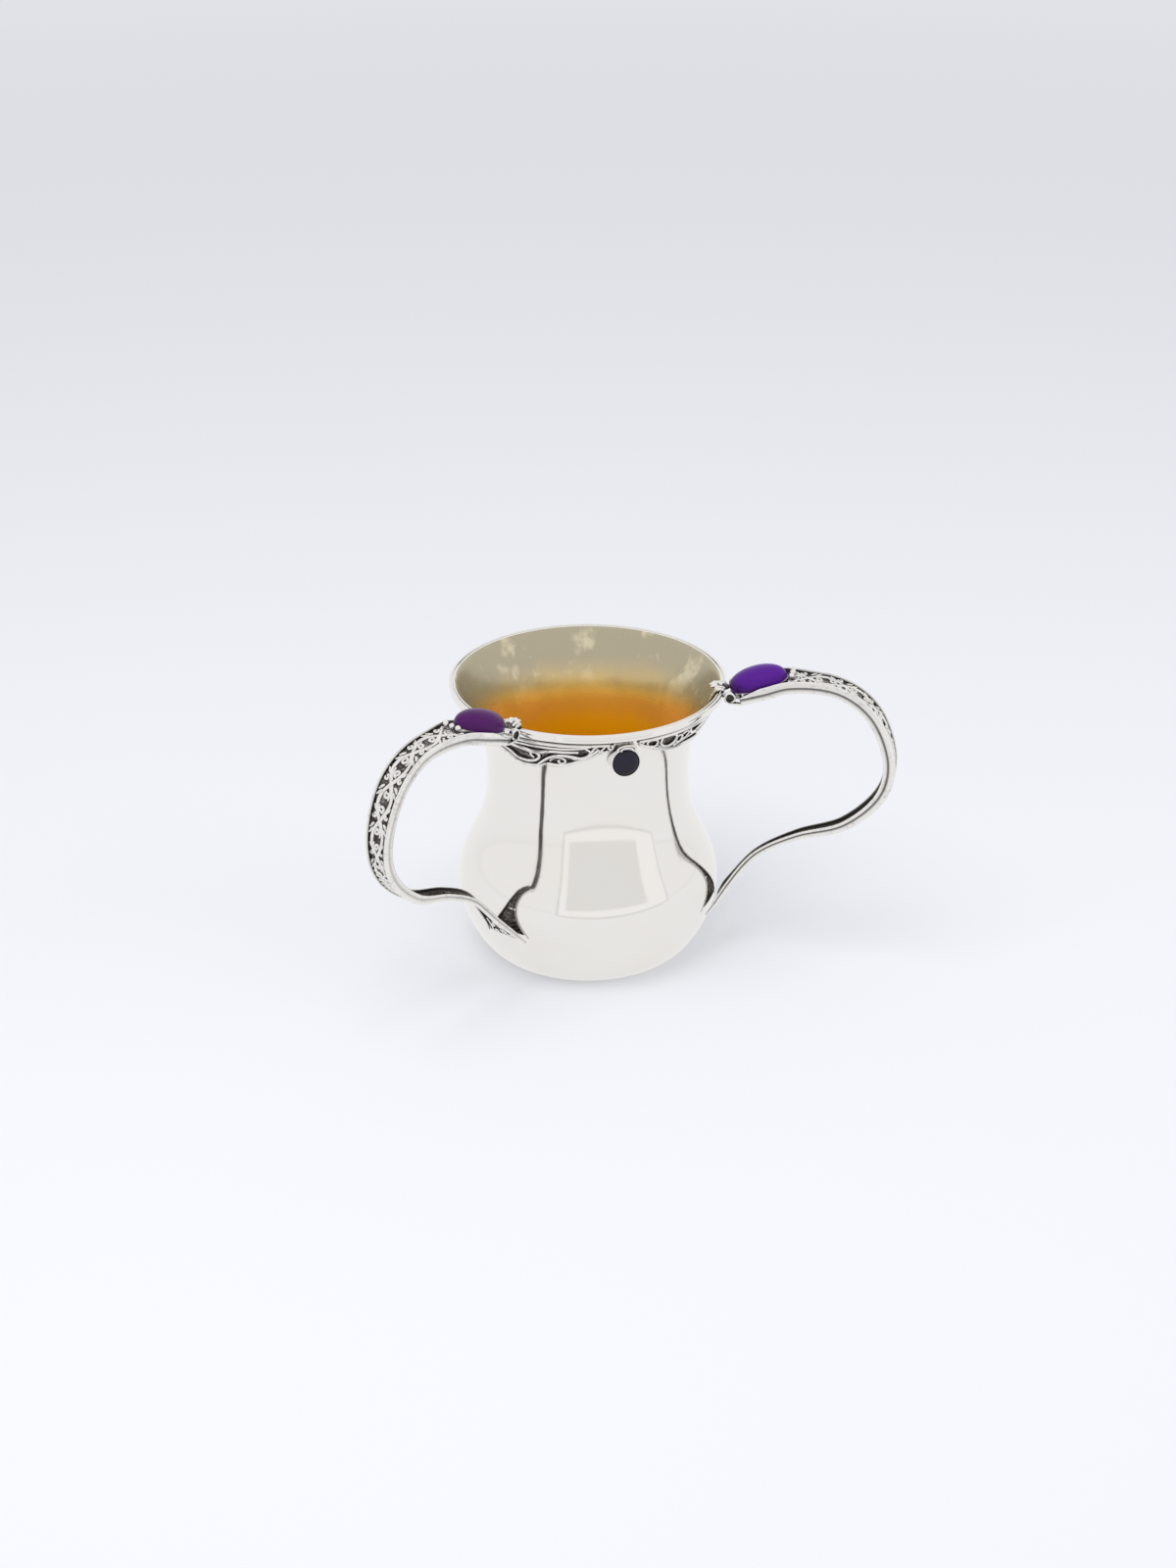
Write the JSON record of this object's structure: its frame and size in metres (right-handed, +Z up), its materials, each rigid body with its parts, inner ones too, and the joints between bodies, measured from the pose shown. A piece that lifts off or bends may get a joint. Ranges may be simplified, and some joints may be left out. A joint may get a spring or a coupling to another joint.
{
  "type": "washing cup",
  "caption": "Flared silver washing cup with tall strap handles of scroll filigree, violet oval cabochons at the rim and a round dark stone in a scroll garland below the lip.",
  "frame": {"origin": "centre of the flat base, on the plane that the cup stands on", "axes": "+Z up along the axis of the cup, -Y towards the round stone below the lip, +X to the right seen from the front"},
  "size_m": [0.2145, 0.1185, 0.1249],
  "materials": {
    "silver": "polished sterling silver",
    "dark_silver": "silver filigree, bright on the raised work and oxidised in the recesses",
    "gilt": "gold plating on the inside of the cup",
    "amethyst": "polished violet cabochon",
    "dark_stone": "polished dark cabochon"
  },
  "bodies": {
    "root": {"cup_body": "silver", "rim_band": "silver", "front_setting": "silver", "front_stone": "dark_stone", "front_loop": "dark_silver", "left_garland": "dark_silver", "left_front_rail": "silver", "left_front_scroll": "silver", "left_back_rail": "silver", "left_back_scroll": "silver", "left_rim_clasp": "dark_silver", "left_stone_setting": "silver", "left_amethyst": "amethyst", "left_filigree_strip": "dark_silver", "left_foot_filigree": "dark_silver", "left_bead_1": "silver", "left_bead_2": "silver", "left_bead_3": "silver", "right_garland": "dark_silver", "right_front_rail": "silver", "right_front_scroll": "silver", "right_back_rail": "silver", "right_back_scroll": "silver", "right_rim_clasp": "dark_silver", "right_stone_setting": "silver", "right_amethyst": "amethyst", "right_filigree_strip": "dark_silver", "right_foot_filigree": "dark_silver", "right_bead_1": "silver", "right_bead_2": "silver", "right_bead_3": "silver"}
  },
  "joints": []
}
